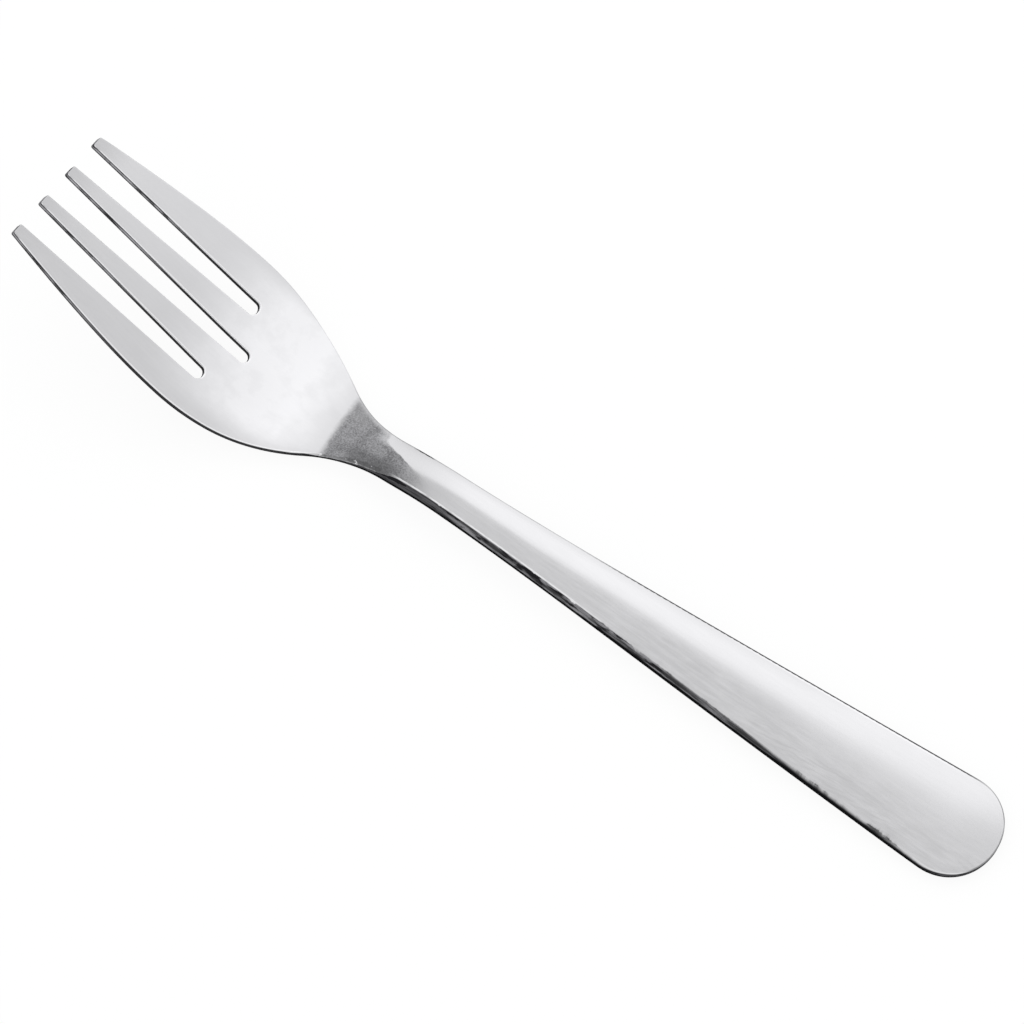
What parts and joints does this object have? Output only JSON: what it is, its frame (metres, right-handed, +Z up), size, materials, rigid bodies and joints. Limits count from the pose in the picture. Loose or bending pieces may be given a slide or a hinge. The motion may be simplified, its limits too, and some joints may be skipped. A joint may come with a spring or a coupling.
{
  "type": "salad fork",
  "caption": "Plain stainless steel salad fork with tapered tines, a shallow curved head and a crowned handle that widens to a round end.",
  "frame": {"origin": "on the surface the fork lies on, under the middle of its length and width", "axes": "+X along the fork towards the handle end, +Y across it, +Z up out of the face that holds the food"},
  "size_m": [0.1554, 0.0262, 0.0169],
  "materials": {
    "steel": "satin polish with fine lines along the length, duller at the neck and darker on the cut edges"
  },
  "bodies": {
    "root": {"handle": "steel", "neck": "steel", "head": "steel", "tine_1": "steel", "tine_2": "steel", "tine_3": "steel", "tine_4": "steel"}
  },
  "joints": []
}
